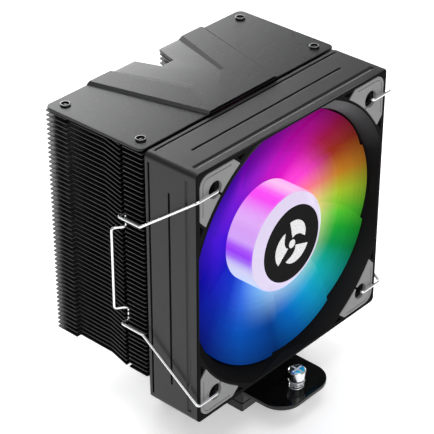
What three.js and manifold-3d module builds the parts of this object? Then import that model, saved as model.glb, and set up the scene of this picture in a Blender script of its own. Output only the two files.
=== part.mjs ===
// CPU tower cooler: a single finned tower on four U-shaped heatpipes, with one 120 mm fan clipped to its intake side.
// Frame: millimetres, +Z up, origin at the centre of the cold plate's underside. Air enters at -Y and leaves at +Y.
import * as THREE from "three";
import { mergeVertices } from "three/addons/utils/BufferGeometryUtils.js";
import Module from "manifold-3d";

const wasm = await Module();
wasm.setup();

// ---------------------------------------------------------------- driving dimensions, mm
const GAP = 0.3; // clearance between neighbouring pieces

// fan
const FAN_HALF = 60; // half the side of the square frame
const FAN_FRONT = -35.3; // y of the intake face
const FAN_REAR = -8; // y of the exhaust face
const FAN_Z = 85; // height of the fan axis
const FAN_HOLE = 49.2; // fan screw holes, from the axis, in X and Z
const THROAT_R = 58.5; // duct radius
const LIP_R = 64.1; // radius of the bellmouth at the intake face
const DUCT_HALF = 58.6; // the bellmouth is cut off square here
const BELL_Y = -29.5; // where the bellmouth runs into the throat
const HUB_R = 23.1;
const HUB_FRONT = -34.6;
const HUB_REAR = -14.2;
const TIP_R = 57.6;
const BLADES = 9;
const BLADE_ARC = 60; // degrees of arc that one blade covers
const PAD_FACE = -35.5; // front of the corner pads
const PAD_THICK = 1.7;

// fin stack and cover
const STACK_FRONT = -6.9;
const STACK_REAR = 47.6;
const FIN_HALF = 60.2;
const FIN_WAIST = 57.7; // half width of the stepped-in flank
const FIN_TOP = 143.3; // mid plane of the top fin
const FIN_BOTTOM = 35.5; // mid plane of the bottom fin
const FINS = 17;
const FIN_T = 1.0;
const COVER_TOP = 145.4;
const COVER_T = 1.2;
const COVER_HALF = 60.5;
const PANEL_TOP = 146.6;
const SCREW_X = 54; // cover screws
const SCREW_Y = [-0.5, 41.8];

// base
const PIPE_R = 3;
const PIPE_Z = 4.45;
const PIPE_BEND = 11;
const PIPES = [
  // y in the base, x of the legs, y of the legs
  { yb: -10.8, xl: 30, yl: 8 },
  { yb: -3.6, xl: 38, yl: 14.5 },
  { yb: 3.6, xl: 29.5, yl: 24 },
  { yb: 10.8, xl: 36.5, yl: 33 },
];
const BASE_X = 18;
const BASE_Y = 23.6;
const PLATE_TOP = 4.3; // top of the cold plate
const BLOCK_TOP = 9.7;
const BAR_X = 18.3; // mounting bar
const BAR_Y = 47.5;
const BAR_Z = [10, 12];
const BAR_R = 11;
const MOUNT_Y = 39.5; // spring screws
const BAR_SCREW = [12.5, 18];

// wire clips
const WIRE_R = 0.7;
const ANCHOR = [58.5, 4.5]; // the clip's pivot in the fin slot: x, y

// ---------------------------------------------------------------- helpers
function solid(geometry) {
  const g = geometry.index ? geometry.toNonIndexed() : geometry.clone();
  g.deleteAttribute("normal");
  g.deleteAttribute("uv");
  const merged = mergeVertices(g, 1e-4);
  const p = merged.attributes.position.array;
  const index = merged.index.array;
  const tri = [];
  for (let i = 0; i < index.length; i += 3) {
    const [a, b, c] = [index[i], index[i + 1], index[i + 2]];
    if (a !== b && b !== c && c !== a) tri.push(a, b, c);
  }
  const make = (t) =>
    new wasm.Manifold(
      new wasm.Mesh({
        numProp: 3,
        vertProperties: new Float32Array(p),
        triVerts: new Uint32Array(t),
      }),
    );
  const first = make(tri);
  if (first.volume() >= 0) return first;
  for (let i = 0; i < tri.length; i += 3)
    [tri[i + 1], tri[i + 2]] = [tri[i + 2], tri[i + 1]];
  return make(tri);
}

function geometryOf(manifold) {
  const mesh = manifold.getMesh();
  const g = new THREE.BufferGeometry();
  g.setAttribute(
    "position",
    new THREE.BufferAttribute(new Float32Array(mesh.vertProperties), 3),
  );
  g.setIndex(Array.from(mesh.triVerts));
  g.computeVertexNormals();
  return g;
}

const rad = (d) => (d * Math.PI) / 180;
const vec = (pts) => pts.map(([x, y]) => new THREE.Vector2(x, y));

function shapeOf(points, holes = []) {
  const s = new THREE.Shape(vec(points));
  for (const h of holes) s.holes.push(new THREE.Path(vec(h)));
  return s;
}

// prism of an (x, y) outline between two heights
function prismZ(points, z0, z1, holes = []) {
  const g = new THREE.ExtrudeGeometry(shapeOf(points, holes), {
    depth: z1 - z0,
    bevelEnabled: false,
    steps: 1,
  });
  return g.translate(0, 0, z0);
}

// prism of an (x, z) outline between two depths
function prismY(points, y0, y1, holes = []) {
  const g = new THREE.ExtrudeGeometry(shapeOf(points, holes), {
    depth: y1 - y0,
    bevelEnabled: false,
    steps: 1,
  });
  return g.rotateX(Math.PI / 2).translate(0, y1, 0);
}

function circle(cx, cy, r, n, turn = 0) {
  const out = [];
  for (let i = 0; i < n; i++) {
    const a = turn + (i / n) * 2 * Math.PI;
    out.push([cx + r * Math.cos(a), cy + r * Math.sin(a)]);
  }
  return out;
}

function roundedRect(hx, hy, r, n, cx = 0, cy = 0) {
  const out = [];
  const corners = [
    [hx - r, hy - r, 0],
    [-hx + r, hy - r, 90],
    [-hx + r, -hy + r, 180],
    [hx - r, -hy + r, 270],
  ];
  for (const [x, y, a0] of corners)
    for (let i = 0; i <= n; i++) {
      const a = rad(a0 + (90 * i) / n);
      out.push([cx + x + r * Math.cos(a), cy + y + r * Math.sin(a)]);
    }
  return out;
}

function box(x0, x1, y0, y1, z0, z1) {
  return new THREE.BoxGeometry(x1 - x0, y1 - y0, z1 - z0).translate(
    (x0 + x1) / 2,
    (y0 + y1) / 2,
    (z0 + z1) / 2,
  );
}

// turned about the fan axis: profile of [radius, y]
function turnedY(profile, segments) {
  return new THREE.LatheGeometry(vec(profile), segments).translate(0, 0, FAN_Z);
}

// turned about a vertical axis at (x, y): profile of [radius, z]
function turnedZ(profile, segments, x = 0, y = 0) {
  return new THREE.LatheGeometry(vec(profile), segments)
    .rotateX(Math.PI / 2)
    .translate(x, y, 0);
}

const ring = (r0, r1, a0, a1) => [
  [r0, a0],
  [r1, a0],
  [r1, a1],
  [r0, a1],
  [r0, a0],
];

// A run of straight legs through given points, sampled exactly at those points.
class Route extends THREE.Curve {
  constructor(points) {
    super();
    this.points = points.map((p) => new THREE.Vector3(...p));
  }
  getUtoTmapping(u) {
    return u;
  }
  getPoint(t, target = new THREE.Vector3()) {
    const n = this.points.length - 1;
    const s = Math.min(Math.max(t, 0), 1) * n;
    const i = Math.min(Math.round(s), n);
    if (Math.abs(s - i) < 1e-6) return target.copy(this.points[i]);
    const k = Math.min(Math.floor(s), n - 1);
    return target.lerpVectors(this.points[k], this.points[k + 1], s - k);
  }
  getTangent(t, target = new THREE.Vector3()) {
    const n = this.points.length - 1;
    const i = Math.min(Math.max(Math.round(t * n), 0), n);
    const before = this.points[Math.max(i - 1, 0)];
    const here = this.points[i];
    const after = this.points[Math.min(i + 1, n)];
    const a = here.clone().sub(before).normalize();
    const b = after.clone().sub(here).normalize();
    return target.copy(a).add(b).normalize();
  }
}

// rounds each inner corner of a run of points with a short arc of `steps` pieces
function filleted(points, radius, steps) {
  const P = points.map((p) => new THREE.Vector3(...p));
  const out = [P[0].toArray()];
  for (let i = 1; i < P.length - 1; i++) {
    const a = P[i - 1].clone().sub(P[i]).normalize();
    const b = P[i + 1].clone().sub(P[i]).normalize();
    const half = a.angleTo(b) / 2;
    const room =
      0.48 * Math.min(P[i].distanceTo(P[i - 1]), P[i].distanceTo(P[i + 1]));
    const cut = Math.min(radius / Math.tan(half), room);
    const r = cut * Math.tan(half);
    const toCentre = a.clone().add(b).normalize();
    const centre = P[i].clone().addScaledVector(toCentre, r / Math.sin(half));
    const from = P[i].clone().addScaledVector(a, cut).sub(centre);
    const to = P[i].clone().addScaledVector(b, cut).sub(centre);
    const axis = from.clone().cross(to).normalize();
    const sweep = from.angleTo(to);
    for (let k = 0; k <= steps; k++)
      out.push(
        from
          .clone()
          .applyAxisAngle(axis, (sweep * k) / steps)
          .add(centre)
          .toArray(),
      );
  }
  out.push(P[P.length - 1].toArray());
  return out;
}

function tube(points, r, sides) {
  const route = new Route(points);
  return new THREE.ExtrudeGeometry(shapeOf(circle(0, 0, r, sides)), {
    steps: points.length - 1,
    extrudePath: route,
    bevelEnabled: false,
  });
}

const mirrored = (points) => points.map(([x, ...rest]) => [-x, ...rest]);

const cooler = new THREE.Group();
cooler.name = "cpu_tower_cooler";
function add(name, shape, color, roughness, metalness, extra = {}) {
  const geometry = shape.isBufferGeometry ? shape : geometryOf(shape);
  const mesh = new THREE.Mesh(
    geometry,
    new THREE.MeshStandardMaterial({ color, roughness, metalness, ...extra }),
  );
  mesh.name = name;
  cooler.add(mesh);
  return mesh;
}

// ---------------------------------------------------------------- base: cold plate, block, heatpipes
const pipeBore = (y) =>
  solid(
    new THREE.CylinderGeometry(PIPE_R + GAP, PIPE_R + GAP, 60, 10)
      .rotateZ(Math.PI / 2)
      .translate(0, y, PIPE_Z),
  );
let coldPlate = solid(box(-BASE_X, BASE_X, -BASE_Y, BASE_Y, 0, PLATE_TOP));
let block = solid(
  prismZ(roundedRect(BASE_X, BASE_Y, 1.2, 2), PLATE_TOP + GAP, BLOCK_TOP),
);
for (const { yb } of PIPES) {
  coldPlate = coldPlate.subtract(pipeBore(yb));
  block = block.subtract(pipeBore(yb));
}
for (const sx of [-1, 1])
  for (const sy of [-1, 1])
    block = block.subtract(
      solid(
        prismZ(
          circle(sx * BAR_SCREW[0], sy * BAR_SCREW[1], 1.8, 8),
          5.5,
          BLOCK_TOP + 1,
        ),
      ),
    );
add("cold_plate", coldPlate, 0xb9bcc0, 0.22, 1);
add("base_block", block, 0x1b1c1e, 0.45, 0.7);

const leg = ({ yb, xl, yl }, side) => {
  const out = [];
  for (let i = 0; i <= 5; i++) {
    const a = rad(18 * i);
    out.push([
      side * (xl - PIPE_BEND + PIPE_BEND * Math.sin(a)),
      yb,
      PIPE_Z + PIPE_BEND * (1 - Math.cos(a)),
    ]);
  }
  const rise = filleted(
    [
      [side * xl, yb, PIPE_Z + PIPE_BEND],
      [side * xl, yb, PIPE_Z + PIPE_BEND + 2],
      [side * xl, yl, 29.5],
      [side * xl, yl, 143.9],
    ],
    9,
    2,
  );
  out.push(...rise.slice(1));
  return out;
};
PIPES.forEach((p, i) => {
  const route = [...leg(p, -1).reverse(), ...leg(p, 1)];
  add(`heatpipe_${i + 1}`, tube(route, PIPE_R, 8), 0x24262a, 0.3, 0.9);
});

// ---------------------------------------------------------------- mounting bar and its hardware
const barHoles = [
  circle(0, MOUNT_Y, 2.3, 10),
  circle(0, -MOUNT_Y, 2.3, 10),
  ...[-1, 1].flatMap((sx) =>
    [-1, 1].map((sy) =>
      circle(sx * BAR_SCREW[0], sy * BAR_SCREW[1], 1.8, 8),
    ),
  ),
];
add(
  "mounting_bar",
  prismZ(roundedRect(BAR_X, BAR_Y, BAR_R, 4), ...BAR_Z, barHoles),
  0x0b0b0c,
  0.12,
  0.6,
);

[
  ["front_left", -1, -1],
  ["front_right", 1, -1],
  ["rear_left", -1, 1],
  ["rear_right", 1, 1],
].forEach(([where, sx, sy]) => {
  const [x, y] = [sx * BAR_SCREW[0], sy * BAR_SCREW[1]];
  let s = solid(
    turnedZ(
      [
        [0, 6],
        [1.5, 6],
        [1.5, BAR_Z[1] + GAP],
        [2.8, BAR_Z[1] + GAP],
        [2.8, 13.4],
        [2.2, 14],
        [0, 14],
      ],
      8,
      x,
      y,
    ),
  );
  s = s.subtract(solid(box(x - 1.7, x + 1.7, y - 0.35, y + 0.35, 13.1, 15)));
  s = s.subtract(solid(box(x - 0.35, x + 0.35, y - 1.7, y + 1.7, 13.1, 15)));
  add(`bar_screw_${where}`, s, 0xc9ccd0, 0.25, 1);
});

for (const [where, y] of [
  ["front", -MOUNT_Y],
  ["rear", MOUNT_Y],
]) {
  // captive spring screw: crowned head, neck, shank with a groove for the retaining clip
  let screw = solid(
    turnedZ(
      [
        [0, 2.2],
        [1.2, 2.2],
        [1.8, 2.9],
        [1.8, 8.9],
        [1.35, 8.9],
        [1.35, 9.8],
        [1.8, 9.8],
        [1.8, 16.6],
        [3.7, 16.6],
        [3.9, 17.0],
        [3.9, 21.3],
        [3.4, 21.8],
        [0, 21.8],
      ],
      12,
      0,
      y,
    ),
  );
  for (const turn of [0, 90])
    screw = screw.subtract(
      solid(
        new THREE.BoxGeometry(5.6, 0.9, 4)
          .rotateZ(rad(turn))
          .translate(0, y, 22.3),
      ),
    );
  add(`${where}_mounting_screw`, screw, 0xd7dade, 0.15, 1);
  add(
    `${where}_spring_washer`,
    turnedZ(ring(2.15, 3.7, 15.7, 16.3), 12, 0, y),
    0xd7dade,
    0.2,
    1,
  );
  // compression spring with closed ends
  const coil = [];
  const turns = 3,
    per = 8,
    z0 = 12.6,
    z1 = 15.1;
  for (let i = 0; i <= turns * per; i++) {
    const t = i / per;
    const k = Math.min(Math.max((t - 0.5) / (turns - 1), 0), 1);
    const a = 2 * Math.PI * t;
    // the end turns close up on their neighbours
    const z = z0 + (z1 - z0) * k;
    coil.push([3.0 * Math.cos(a), y + 3.0 * Math.sin(a), z]);
  }
  add(`${where}_spring`, tube(coil, 0.28, 5), 0xc4c7cb, 0.2, 1);
  // retaining clip in the shank's groove, open on one side
  const clip = [];
  for (let i = 0; i <= 8; i++) {
    const a = rad(260 - (260 * i) / 8);
    clip.push([3.4 * Math.cos(a), y + 3.4 * Math.sin(a)]);
  }
  for (let i = 8; i >= 0; i--) {
    const a = rad(260 - (260 * i) / 8);
    clip.push([1.68 * Math.cos(a), y + 1.68 * Math.sin(a)]);
  }
  add(`${where}_retaining_clip`, prismZ(clip, 9.05, 9.65), 0x55585c, 0.35, 1);
}

// ---------------------------------------------------------------- fin stack
const half = [
  [FIN_HALF, STACK_FRONT],
  [FIN_HALF, ANCHOR[1] - 1],
  [57.3, ANCHOR[1] - 1],
  [57.3, ANCHOR[1] + 1],
  [FIN_HALF, ANCHOR[1] + 1],
  [FIN_WAIST, 16.5],
  [FIN_WAIST, 35.4],
  [60, 35.4],
  [60, STACK_REAR],
  [7.5, STACK_REAR],
  [3.6, 35.2],
];
const finOutline = [...half, ...mirrored(half).reverse()];
const legHoles = PIPES.flatMap(({ xl, yl }) =>
  [-1, 1].map((s) => circle(s * xl, yl, 4.75, 4, rad(45))),
);
let stack = null;
for (let i = 0; i < FINS; i++) {
  const z = FIN_BOTTOM + ((FIN_TOP - FIN_BOTTOM) * i) / (FINS - 1);
  const holes = [...legHoles];
  if (i === FINS - 1)
    for (const sx of [-1, 1])
      for (const y of SCREW_Y) holes.push(circle(sx * SCREW_X, y, 1.6, 6));
  const fin = solid(prismZ(finOutline, z - FIN_T / 2, z + FIN_T / 2, holes));
  stack = stack ? stack.add(fin) : fin;
}
// folded tabs join each fin to the next, in four columns
for (const [x0, x1, y0, y1] of [
  [-38, -33, STACK_FRONT, STACK_FRONT + 0.7],
  [33, 38, STACK_FRONT, STACK_FRONT + 0.7],
  [-38, -33, STACK_REAR - 0.7, STACK_REAR],
  [33, 38, STACK_REAR - 0.7, STACK_REAR],
])
  stack = stack.add(
    solid(
      box(x0, x1, y0, y1, FIN_BOTTOM - FIN_T / 2, FIN_TOP + FIN_T / 2),
    ),
  );
add("fin_stack", stack, 0x17181a, 0.4, 0.8);

// ---------------------------------------------------------------- cover
const coverHalf = [
  [COVER_HALF - 2.5, STACK_FRONT],
  [COVER_HALF - 0.7, STACK_FRONT + 0.7],
  [COVER_HALF, STACK_FRONT + 2.5],
  [COVER_HALF, 45.2],
  [COVER_HALF - 0.7, 47],
  [COVER_HALF - 2.5, 47.7],
  [7.5, 47.7],
  [3.6, 35.2],
];
add(
  "top_cover",
  prismZ(
    [...coverHalf, ...mirrored(coverHalf).reverse()],
    COVER_TOP - COVER_T,
    COVER_TOP,
    [-1, 1].flatMap((sx) => SCREW_Y.map((y) => circle(sx * SCREW_X, y, 1.7, 8))),
  ),
  0x3b3c3f,
  0.42,
  0.8,
);
// raised centre panel with bevelled flanks
const panelHalf = [
  [20.0, STACK_FRONT + 1.6],
  [34.5, 46.1],
  [9.3, 46.1],
  [5.6, 33.9],
];
const panelGeometry = new THREE.ExtrudeGeometry(
  shapeOf([...panelHalf, ...mirrored(panelHalf).reverse()]),
  {
    depth: 1.4,
    bevelEnabled: true,
    bevelThickness: 0.8,
    bevelSize: 1.6,
    bevelSegments: 1,
  },
).translate(0, 0, PANEL_TOP - 2.2);
add(
  "cover_centre_panel",
  solid(panelGeometry).intersect(
    solid(box(-50, 50, -20, 60, COVER_TOP + GAP, PANEL_TOP + 1)),
  ),
  0x3f4043,
  0.42,
  0.8,
);
[
  ["front_left", -1, 0],
  ["front_right", 1, 0],
  ["rear_left", -1, 1],
  ["rear_right", 1, 1],
].forEach(([where, sx, k]) => {
  const [x, y] = [sx * SCREW_X, SCREW_Y[k]];
  let s = solid(
    turnedZ(
      [
        [0, 141.2],
        [1.2, 141.2],
        [1.2, COVER_TOP + GAP],
        [2.25, COVER_TOP + GAP],
        [2.25, 146.0],
        [1.9, 146.3],
        [0, 146.3],
      ],
      10,
      x,
      y,
    ),
  );
  s = s.subtract(solid(prismZ(circle(x, y, 1.25, 6), 144.9, 148)));
  add(`cover_screw_${where}`, s, 0xbfc2c6, 0.3, 1);
});

// ---------------------------------------------------------------- fan frame
const zc = (pts) => pts.map(([x, z]) => [x, z + FAN_Z]);
const square = (h, r, n) => roundedRect(h, h, r, n, 0, FAN_Z);
let frame = solid(prismY(square(FAN_HALF, 2.5, 3), FAN_FRONT, FAN_REAR));
const bell = [[0, FAN_FRONT - 2], [LIP_R + 1, FAN_FRONT - 2]];
for (let i = 0; i <= 3; i++) {
  const a = rad(30 * i);
  bell.push([
    LIP_R - (LIP_R - THROAT_R) * Math.sin(a),
    BELL_Y - (BELL_Y - FAN_FRONT) * Math.cos(a),
  ]);
}
bell.push([THROAT_R, FAN_REAR + 2], [0, FAN_REAR + 2]);
frame = frame.subtract(
  solid(turnedY(bell, 40)).intersect(
    solid(prismY(square(DUCT_HALF, 1, 1), FAN_FRONT - 3, FAN_REAR + 3)),
  ),
);

// corner pad outline in the +X +Z corner, grown by `grow`; its inner edge follows the bellmouth lip
function padOutline(grow, keyhole) {
  const out = [];
  const edge = 58 + grow;
  const end = 38.2 - grow;
  const inner = LIP_R + 0.9 - grow;
  for (let i = 0; i <= 3; i++) {
    const a = rad(30 * i);
    out.push([
      edge - 5 + 5 * Math.cos(a),
      edge - 5 + 5 * Math.sin(a),
    ]);
  }
  const a1 = Math.acos(end / inner);
  out.push([end, edge]);
  out.push([end, inner * Math.sin(a1)]);
  // along the lip towards the other leg, with the slit and hole on the way
  const steps = 3;
  for (let i = 1; i < steps; i++) {
    const a = a1 + ((Math.PI / 4 - a1) * i) / steps;
    out.push([inner * Math.cos(a), inner * Math.sin(a)]);
  }
  if (keyhole) {
    const w = 0.5;
    const d = inner + 0.05;
    const at = (along, across) => [
      (along - across) / Math.SQRT2,
      (along + across) / Math.SQRT2,
    ];
    out.push(at(d, w));
    const c = FAN_HOLE * Math.SQRT2;
    const r = 3.8;
    const open = Math.asin(w / r);
    for (let i = 0; i <= 10; i++) {
      const a = Math.PI - open - ((2 * Math.PI - 2 * open) * i) / 10;
      out.push(at(c + r * Math.cos(a), r * Math.sin(a)));
    }
    out.push(at(d, -w));
  } else out.push([inner / Math.SQRT2, inner / Math.SQRT2]);
  for (let i = steps - 1; i >= 1; i--) {
    const a = Math.PI / 2 - (a1 + ((Math.PI / 4 - a1) * i) / steps);
    out.push([inner * Math.cos(a), inner * Math.sin(a)]);
  }
  out.push([inner * Math.sin(a1), end]);
  out.push([edge, end]);
  return out;
}
const corners = [
  ["top_left", -1, 1],
  ["top_right", 1, 1],
  ["bottom_left", -1, -1],
  ["bottom_right", 1, -1],
];
const toCorner = (pts, sx, sz) => {
  const out = pts.map(([x, z]) => [sx * x, sz * z + FAN_Z]);
  return sx * sz < 0 ? out.reverse() : out;
};
// dark pocket beside each end of a pad
const pocket = [
  [36.4, 58],
  [36.4, 55.2],
  [31.0, 58],
];
for (const [, sx, sz] of corners) {
  frame = frame.subtract(
    solid(
      prismY(
        toCorner(padOutline(GAP, false), sx, sz),
        FAN_FRONT - 1,
        PAD_FACE + PAD_THICK + GAP,
      ),
    ),
  );
  frame = frame.subtract(
    solid(
      prismY(
        toCorner(padOutline(GAP, false), sx, sz),
        FAN_REAR - 1.2,
        FAN_REAR + 1,
      ),
    ),
  );
  frame = frame.subtract(
    solid(
      prismY(
        circle(sx * FAN_HOLE, sz * FAN_HOLE + FAN_Z, 2.5, 10),
        FAN_FRONT - 2,
        FAN_REAR + 2,
      ),
    ),
  );
  for (const p of [pocket, pocket.map(([x, z]) => [z, x]).reverse()])
    frame = frame.subtract(
      solid(prismY(toCorner(p, sx, sz), FAN_FRONT - 1, FAN_FRONT + 3)),
    );
}
// on each side: a slot along the middle, and a groove near the rear and front edges
for (const [y0, y1, depth, run] of [
  [-21.3, -20.4, 0.8, 46.7],
  [-10.7, -9.6, 1.1, 56.5],
  [-31.4, -29.6, 0.45, 56],
])
  for (let k = 0; k < 4; k++)
    frame = frame.subtract(
      solid(
        box(-run, run, y0, y1, FAN_HALF - depth, FAN_HALF + 1)
          .rotateY(rad(90 * k))
          .translate(0, 0, FAN_Z),
      ),
    );
// motor base: floor, bearing tube and four struts
let motorBase = solid(
  turnedY(
    [
      [0, -9.2],
      [23.5, -9.2],
      [23.5, -12.6],
      [22.4, -12.6],
      [22.4, -11.4],
      [4.3, -11.4],
      [4.3, -26.6],
      [3.4, -26.6],
      [3.4, -11.0],
      [0, -11.0],
    ],
    24,
  ),
);
for (let k = 0; k < 4; k++) {
  const strut = new THREE.BoxGeometry(3.2, 3.6, 40)
    .translate(0, -10.9, 41.5)
    .rotateY(rad(45 + 90 * k + 8))
    .translate(0, 0, FAN_Z);
  motorBase = motorBase.add(solid(strut));
}
frame = frame.add(motorBase);
// notch in the rear lip where the fan lead leaves the frame
frame = frame.subtract(solid(box(42, 47, -12.4, -7, 24, 27)));
add("fan_frame", frame, 0x2b2c2e, 0.5, 0.1);

for (const [where, sx, sz] of corners) {
  add(
    `front_pad_${where}`,
    prismY(
      toCorner(padOutline(0, true), sx, sz),
      PAD_FACE,
      PAD_FACE + PAD_THICK,
    ),
    0x9a9c9d,
    0.8,
    0,
  );
  add(
    `rear_pad_${where}`,
    prismY(toCorner(padOutline(0, true), sx, sz), -8.9, -7.2),
    0x9a9c9d,
    0.8,
    0,
  );
}

// ---------------------------------------------------------------- fan motor, fixed half
add("bearing_sleeve", turnedY(ring(1.8, 3.1, -26.9, -12), 12), 0xb08d4a, 0.3, 1);
const poles = [];
for (let k = 0; k < 4; k++) {
  const a = rad(90 * k + 45);
  const at = (r, w) => [
    r * Math.cos(a) - w * Math.sin(a),
    r * Math.sin(a) + w * Math.cos(a),
  ];
  poles.push(
    at(6.6, -2.2),
    at(13.6, -2.2),
    at(13.2, -7.6),
    at(15.2, -7.0),
    at(16.6, 0),
    at(15.2, 7.0),
    at(13.2, 7.6),
    at(13.6, 2.2),
    at(6.6, 2.2),
  );
}
const core = solid(
  prismY(zc(poles), -24.5, -17.5, [circle(0, FAN_Z, 4.7, 12)]),
);
add("stator_core", core, 0x6d7075, 0.5, 0.9);
let coils = null;
for (let k = 0; k < 4; k++) {
  const place = (g) => g.rotateY(-rad(90 * k + 45)).translate(0, 0, FAN_Z);
  let c = solid(
    place(new THREE.BoxGeometry(4.6, 10.6, 7.6).translate(10.4, -21, 0)),
  );
  c = c.subtract(
    solid(place(new THREE.BoxGeometry(8, 7.6, 5.0).translate(10.4, -21, 0))),
  );
  coils = coils ? coils.add(c) : c;
}
coils = coils.add(solid(turnedY(ring(8.6, 12, -26.9, -25.6), 16)));
add("stator_windings", coils, 0xb8672e, 0.4, 0.8);
let board = solid(turnedY(ring(4.7, 21.1, -12.6, -11.7), 16));
for (let k = 0; k < 8; k++)
  board = board.add(
    solid(
      new THREE.BoxGeometry(2.4, 1.4, 1.8)
        .translate(19.8, -13.2, 0)
        .rotateY(rad(45 * k + 11))
        .translate(0, 0, FAN_Z),
    ),
  );
add("motor_led_board", board, 0x1d5a3a, 0.5, 0.1);

// ---------------------------------------------------------------- rotor
let rotor = solid(
  turnedY(
    [
      [0, -33.8],
      [18, -33.8],
      [18, HUB_FRONT],
      [18.6, HUB_FRONT],
      [22.6, -31.9],
      [HUB_R, -31.2],
      [HUB_R, HUB_REAR],
      [20.8, HUB_REAR],
      [20.8, -31.6],
      [4.6, -31.6],
      [4.2, -28.6],
      [1.8, -28.6],
      [1.8, -32.4],
      [0, -32.4],
    ],
    28,
  ),
);
const bladeSection = (u, v, w, k) => {
  const r = 22.3 + (TIP_R - 22.3) * u;
  const sweep = 16 * u * u;
  const th = rad((360 / BLADES) * k + sweep + (v - 0.5) * BLADE_ARC);
  // the blades lean forward: the tips stand ahead of the roots
  const depth = 3.6 + 1.6 * u;
  const lead = -15.6 - 12.3 * u ** 1.12 - depth / 2;
  const camber = -(0.4 + 0.5 * u) * Math.sin(Math.PI * v);
  const t = 1.3 - 0.5 * u;
  const y = lead + depth * v + camber + w * t * (1 - 0.55 * (2 * v - 1) ** 2);
  return [r * Math.sin(th), y, FAN_Z + r * Math.cos(th)];
};
for (let k = 0; k < BLADES; k++) {
  const g = new THREE.BoxGeometry(1, 1, 1, 3, 5, 1);
  const p = g.attributes.position;
  for (let i = 0; i < p.count; i++)
    p.setXYZ(
      i,
      ...bladeSection(p.getX(i) + 0.5, p.getY(i) + 0.5, p.getZ(i), k),
    );
  rotor = rotor.add(solid(g));
}
add("fan_rotor", rotor, 0xd9d4ea, 0.3, 0, { transparent: true, opacity: 0.75 });
add(
  "hub_badge",
  turnedY(
    [
      [0, HUB_FRONT],
      [17.4, HUB_FRONT],
      [17.7, -34.4],
      [17.7, -34.1],
      [0, -34.1],
    ],
    28,
  ),
  0x0e0e10,
  0.35,
  0,
);
add(
  "rotor_yoke",
  turnedY(
    [
      [4.9, -31.3],
      [20.5, -31.3],
      [20.5, -16.4],
      [19.6, -16.4],
      [19.6, -30.4],
      [4.9, -30.4],
      [4.9, -31.3],
    ],
    20,
  ),
  0x8d9095,
  0.35,
  1,
);
add("rotor_magnet", turnedY(ring(17.2, 19.2, -28.5, -16.8), 20), 0x1a1a1c, 0.6, 0.2);
add(
  "fan_shaft",
  turnedY(
    [
      [0, -32.1],
      [1.45, -32.1],
      [1.45, -12.2],
      [1.1, -11.6],
      [0, -11.6],
    ],
    12,
  ),
  0xd0d3d6,
  0.15,
  1,
);

// ---------------------------------------------------------------- fan wire clips
const gripZ = 19.8; // the grip's arms and the anchors lie in gaps between fins
const anchorZ = 26.4;
const clipHalf = [
  [-FAN_HOLE, -35.15, FAN_HOLE],
  [-FAN_HOLE, -36.9, FAN_HOLE],
  [-61.4, -36.9, FAN_HOLE],
  [-62.5, -7.3, anchorZ],
  [-62.5, 5.4, anchorZ],
  [-ANCHOR[0], ANCHOR[1], anchorZ],
  [-ANCHOR[0], ANCHOR[1], gripZ],
  [-63.3, 8.1, gripZ],
];
const clipRun = [
  ...clipHalf,
  ...clipHalf.map(([x, y, z]) => [x, y, -z]).reverse(),
].map(([x, y, z]) => [x, y, z + FAN_Z]);
const leftRoute = filleted(clipRun, 1.3, 2);
add("left_fan_clip", tube(leftRoute, WIRE_R, 6), 0xe3e5e8, 0.15, 1);
add("right_fan_clip", tube(mirrored(leftRoute), WIRE_R, 6), 0xe3e5e8, 0.15, 1);

export default cooler;
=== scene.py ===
"""Looks for the CPU tower cooler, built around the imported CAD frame. Lengths below are in millimetres and are scaled to metres as each piece is finished."""

import math

import bpy
import numpy as np
from mathutils import Matrix, Vector

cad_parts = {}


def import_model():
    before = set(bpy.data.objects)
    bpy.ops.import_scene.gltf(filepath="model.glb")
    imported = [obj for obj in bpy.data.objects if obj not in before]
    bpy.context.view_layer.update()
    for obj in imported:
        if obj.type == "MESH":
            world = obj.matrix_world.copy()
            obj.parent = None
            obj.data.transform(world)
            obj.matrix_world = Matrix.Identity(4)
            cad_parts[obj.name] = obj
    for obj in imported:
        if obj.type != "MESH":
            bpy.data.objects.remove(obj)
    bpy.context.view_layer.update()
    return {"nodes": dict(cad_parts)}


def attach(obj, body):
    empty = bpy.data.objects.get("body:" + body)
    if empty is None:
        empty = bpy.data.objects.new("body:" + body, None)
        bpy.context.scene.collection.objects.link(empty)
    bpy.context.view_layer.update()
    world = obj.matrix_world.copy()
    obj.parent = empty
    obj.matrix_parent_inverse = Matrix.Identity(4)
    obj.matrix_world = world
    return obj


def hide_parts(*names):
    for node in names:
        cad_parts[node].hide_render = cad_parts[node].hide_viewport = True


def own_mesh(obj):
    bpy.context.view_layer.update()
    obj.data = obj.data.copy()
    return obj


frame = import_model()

MM = 0.001
FZ = 85.0  # height of the fan axis
scene = bpy.context.scene


# ------------------------------------------------------------------ camera, light, floor
def camera():
    az, el = math.radians(-48.35), math.radians(32.27)
    back = Vector((math.sin(az) * math.cos(el), -math.cos(az) * math.cos(el), math.sin(el)))
    right = Vector((math.cos(az), math.sin(az), 0))
    up = back.cross(right)
    roll = math.radians(0.06)
    right, up = (
        right * math.cos(roll) + up * math.sin(roll),
        up * math.cos(roll) - right * math.sin(roll),
    )
    data = bpy.data.cameras.new("camera")
    data.sensor_width = 36
    data.lens = 143.37
    data.clip_start = 0.01
    data.clip_end = 50
    o = bpy.data.objects.new("camera", data)
    place = Matrix.Identity(4)
    for row in range(3):
        place[row][0], place[row][1], place[row][2] = right[row], up[row], back[row]
    place.translation = Vector((-0.4741, -0.4142, 0.4812))
    o.matrix_world = place
    scene.collection.objects.link(o)
    scene.camera = o
    return o


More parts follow.
